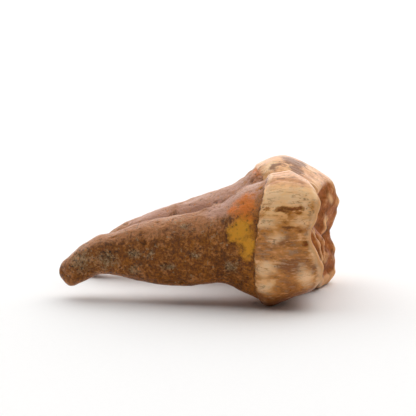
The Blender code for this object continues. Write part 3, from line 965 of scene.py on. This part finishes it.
def fossil_material(tints):
    """Root, enamel and chewing face, each with its own stains, in one satin finish."""
    wash = Wash("fossil")
    mm = wash.millimetres()
    edge = wash.sum((wash.measure("past_cervix"), 1.0), (wash.noise(mm, size=0.5), 0.12))
    enamel = wash.band(edge, low=-0.10, high=0.12)
    face = wash.measure("on_face")
    colour = wash.mixed(enamel, root_colour(wash, mm, tints), enamel_colour(wash, mm, tints))
    colour = wash.mixed(face, colour, face_colour(wash, mm, tints))
    # Painted shade: the colour is darkened in fine creases, less so on the enamel.
    crease = wash.sum((wash.measure("crease"), 1.0), (enamel, -0.032))
    colour = wash.shaded(colour, wash.band(crease, low=0.008, high=0.05, lowest=1.0, highest=0.55))
    mottle = wash.noise(mm, size=0.6, detail=4.0)
    rough = wash.sum((mottle, ROUGH_MOTTLE), (enamel, ROUGH_ENAMEL), (face, ROUGH_FACE), ROUGH_ROOT)
    shine = wash.sum((face, SHINE_FACE), (enamel, SHINE_ENAMEL), SHINE_ROOT)
    wash.feed(wash.shader.inputs["Base Color"], colour)
    wash.feed(wash.shader.inputs["Roughness"], rough)
    wash.feed(wash.shader.inputs["Specular IOR Level"], shine)
    wash.shader.inputs["Subsurface Weight"].default_value = GLOW
    wash.shader.inputs["Subsurface Radius"].default_value = GLOW_COLOUR
    wash.shader.inputs["Subsurface Scale"].default_value = GLOW_DEPTH
    bump = wash.node("ShaderNodeBump")
    bump.inputs["Strength"].default_value = 1.0
    bump.inputs["Distance"].default_value = MM
    wash.feed(bump.inputs["Height"], surface_height(wash, mm, enamel))
    wash.feed(wash.shader.inputs["Normal"], bump.outputs["Normal"])
    return wash.material


def floor_material(tint):
    """Matt white card with a very faint grain."""
    wash = Wash("floor_card")
    grain = wash.noise(wash.millimetres(), size=0.8, detail=2.0)
    wash.feed(wash.shader.inputs["Base Color"], wash.shaded(tint, wash.band(grain, -1.0, 1.0, *FLOOR_GRAIN)))
    wash.shader.inputs["Roughness"].default_value = FLOOR_ROUGHNESS
    return wash.material


def soft_light(name, place, size, power):
    """A square soft light that faces the tooth."""
    light = bpy.data.lights.new(name, "AREA")
    light.shape = "SQUARE"
    light.size = size
    light.energy = power
    lamp = bpy.data.objects.new(name, light)
    lamp.location = place
    lamp.rotation_euler = (AIM - Vector(place)).to_track_quat("-Z", "Y").to_euler()
    bpy.context.scene.collection.objects.link(lamp)


class FOSSIL_OT_tooth(bpy.types.Operator):
    """Makes the tooth's fine surface, which stands for its solid"""

    bl_idname = "fossil.tooth"
    bl_label = "Make the tooth"

    def execute(self, context):
        scene = context.scene
        mesh = tooth_mesh(scene.fossil_shape)
        mesh.materials.append(fossil_material(scene.fossil_colours))
        tooth = bpy.data.objects.new("fossil_tooth", mesh)
        scene.collection.objects.link(tooth)
        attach(tooth, "root")
        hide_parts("tooth")
        return {"FINISHED"}


class FOSSIL_OT_studio(bpy.types.Operator):
    """Makes the floor, the lights and the camera"""

    bl_idname = "fossil.studio"
    bl_label = "Set up the studio"

    def execute(self, context):
        scene = context.scene
        studio = scene.fossil_studio
        corners = [(FLOOR_HALF * x, FLOOR_HALF * y, 0.0) for x, y in ((-1, -1), (1, -1), (1, 1), (-1, 1))]
        mesh = bpy.data.meshes.new("floor")
        mesh.from_pydata(corners, [], [(0, 1, 2, 3)])
        mesh.materials.append(floor_material(studio.floor))
        floor = bpy.data.objects.new("floor", mesh)
        scene.collection.objects.link(floor)
        soft_light("key", KEY_PLACE, KEY_SIZE, studio.key)
        soft_light("fill", FILL_PLACE, FILL_SIZE, studio.fill)
        world = bpy.data.worlds.new("sky")
        world.use_nodes = True
        world.node_tree.nodes["Background"].inputs["Color"].default_value = (1.0, 1.0, 1.0, 1.0)
        world.node_tree.nodes["Background"].inputs["Strength"].default_value = studio.sky
        scene.world = world
        scene.view_settings.view_transform = "Standard"
        lens = bpy.data.cameras.new("camera")
        lens.sensor_width = SENSOR
        lens.lens = SENSOR * CAMERA_DISTANCE / (PIXELS / PIXELS_PER_MM * MM)
        camera = bpy.data.objects.new("camera", lens)
        across = math.cos(CAMERA_ELEVATION)
        back = Vector((
            math.sin(CAMERA_AZIMUTH) * across,
            -math.cos(CAMERA_AZIMUTH) * across,
            math.sin(CAMERA_ELEVATION),
        ))
        camera.location = AIM + back * CAMERA_DISTANCE
        camera.rotation_mode = "QUATERNION"
        camera.rotation_quaternion = (-back).to_track_quat("-Z", "Y")
        scene.collection.objects.link(camera)
        scene.camera = camera
        return {"FINISHED"}


class FOSSIL_PT_panel(bpy.types.Panel):
    """Sizes, colours and operators of the fossil tooth."""

    bl_idname = "FOSSIL_PT_panel"
    bl_label = "Fossil tooth"
    bl_space_type = "VIEW_3D"
    bl_region_type = "UI"
    bl_category = "Fossil"

    def draw(self, context):
        layout = self.layout
        for group in (context.scene.fossil_shape, context.scene.fossil_colours, context.scene.fossil_studio):
            for name in group.bl_rna.properties.keys():
                if name not in ("rna_type", "name"):
                    layout.prop(group, name)
        layout.operator(FOSSIL_OT_tooth.bl_idname)
        layout.operator(FOSSIL_OT_studio.bl_idname)


GROUPS = {"fossil_shape": FossilShape, "fossil_colours": FossilColours, "fossil_studio": FossilStudio}
CLASSES = (*GROUPS.values(), FOSSIL_OT_tooth, FOSSIL_OT_studio, FOSSIL_PT_panel)


def register():
    """Registers the classes and hangs the groups of sizes and colours on the scene."""
    for kind in CLASSES:
        bpy.utils.register_class(kind)
    for name, kind in GROUPS.items():
        setattr(bpy.types.Scene, name, bpy.props.PointerProperty(type=kind))


def unregister():
    """Undoes what register did."""
    for name in GROUPS:
        delattr(bpy.types.Scene, name)
    for kind in reversed(CLASSES):
        bpy.utils.unregister_class(kind)


def main():
    """Makes the tooth and the studio."""
    register()
    bpy.ops.fossil.tooth()
    bpy.ops.fossil.studio()


if __name__ == "__main__":
    main()
